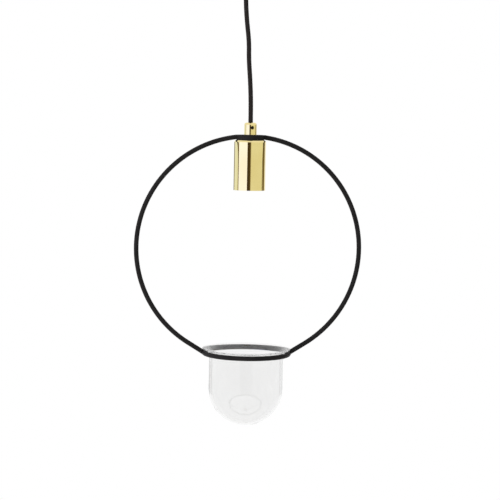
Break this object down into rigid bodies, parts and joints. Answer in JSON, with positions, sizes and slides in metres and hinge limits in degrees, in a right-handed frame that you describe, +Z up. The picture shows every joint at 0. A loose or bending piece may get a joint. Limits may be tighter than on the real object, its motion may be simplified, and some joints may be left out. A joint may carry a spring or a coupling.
{
  "type": "pendant lamp with glass vase",
  "caption": "Pendant lamp on a textile cord: a thin black hoop holds a brass lampholder at its top and a clear round-bottomed glass vase in a ring at its base.",
  "frame": {"origin": "centre of the ceiling bracket's top face, on the ceiling plane", "axes": "+Z up into the ceiling; the hoop stands in the XZ plane and -Y is the front"},
  "size_m": [0.3398, 0.1336, 0.7044],
  "materials": {
    "black_coat": "satin black powder coat",
    "polished_brass": "polished",
    "black_textile": "black braided textile",
    "bright_steel": "zinc plated",
    "white_ceramic": "white glazed",
    "clear_glass": "clear",
    "contact_bronze": "spring bronze",
    "blackened_steel": "oil-blackened",
    "white_plastic": "matte white",
    "brown_insulation": "brown insulation",
    "blue_insulation": "blue insulation",
    "earth_insulation": "green and yellow insulation"
  },
  "bodies": {
    "ceiling_rose": {"ceiling_bracket": "bright_steel", "canopy": "black_coat", "canopy_screws": "polished_brass", "cord_outlet": "polished_brass", "outlet_nut": "bright_steel", "outlet_screw": "blackened_steel", "cord_tail": "black_textile", "terminal_block": "white_plastic", "terminal_sleeves": "polished_brass", "terminal_screws": "bright_steel", "block_screw": "bright_steel", "canopy_earth_tag": "bright_steel", "canopy_earth_screw": "polished_brass", "canopy_live_core": "brown_insulation", "canopy_neutral_core": "blue_insulation", "canopy_earth_core": "earth_insulation"},
    "cord": {"textile_cord": "black_textile"},
    "lamp": {"cord_grip": "polished_brass", "grip_screw": "blackened_steel", "cord_end": "black_textile", "threaded_nipple": "bright_steel", "hoop_hub": "black_coat", "hoop_left": "black_coat", "hoop_right": "black_coat", "vase_ring": "black_coat", "socket_cup": "polished_brass", "lock_nut": "bright_steel", "socket_bridge": "bright_steel", "bridge_screws": "bright_steel", "earth_screw": "polished_brass", "socket_insert": "white_ceramic", "screw_shell": "polished_brass", "centre_contact": "contact_bronze", "contact_rivets": "polished_brass", "socket_terminals": "polished_brass", "socket_terminal_screws": "bright_steel", "live_core": "brown_insulation", "neutral_core": "blue_insulation", "earth_core": "earth_insulation"},
    "vase": {"glass_vase": "clear_glass"}
  },
  "joints": [
    {"name": "pendant_swing", "type": "hinge", "parent": "ceiling_rose", "child": "cord", "pos_m": [0, 0, -0.043], "axis": [1, 0, 0], "range_deg": [-20, 20]},
    {"name": "lamp_turn", "type": "hinge", "parent": "cord", "child": "lamp", "pos_m": [0.0105, 0, -0.253], "axis": [0, 0, 1], "range_deg": [-180, 180]},
    {"name": "vase_lift", "type": "slide", "parent": "lamp", "child": "vase", "axis": [0, 0, 1], "range_m": [0, 0.12]}
  ]
}
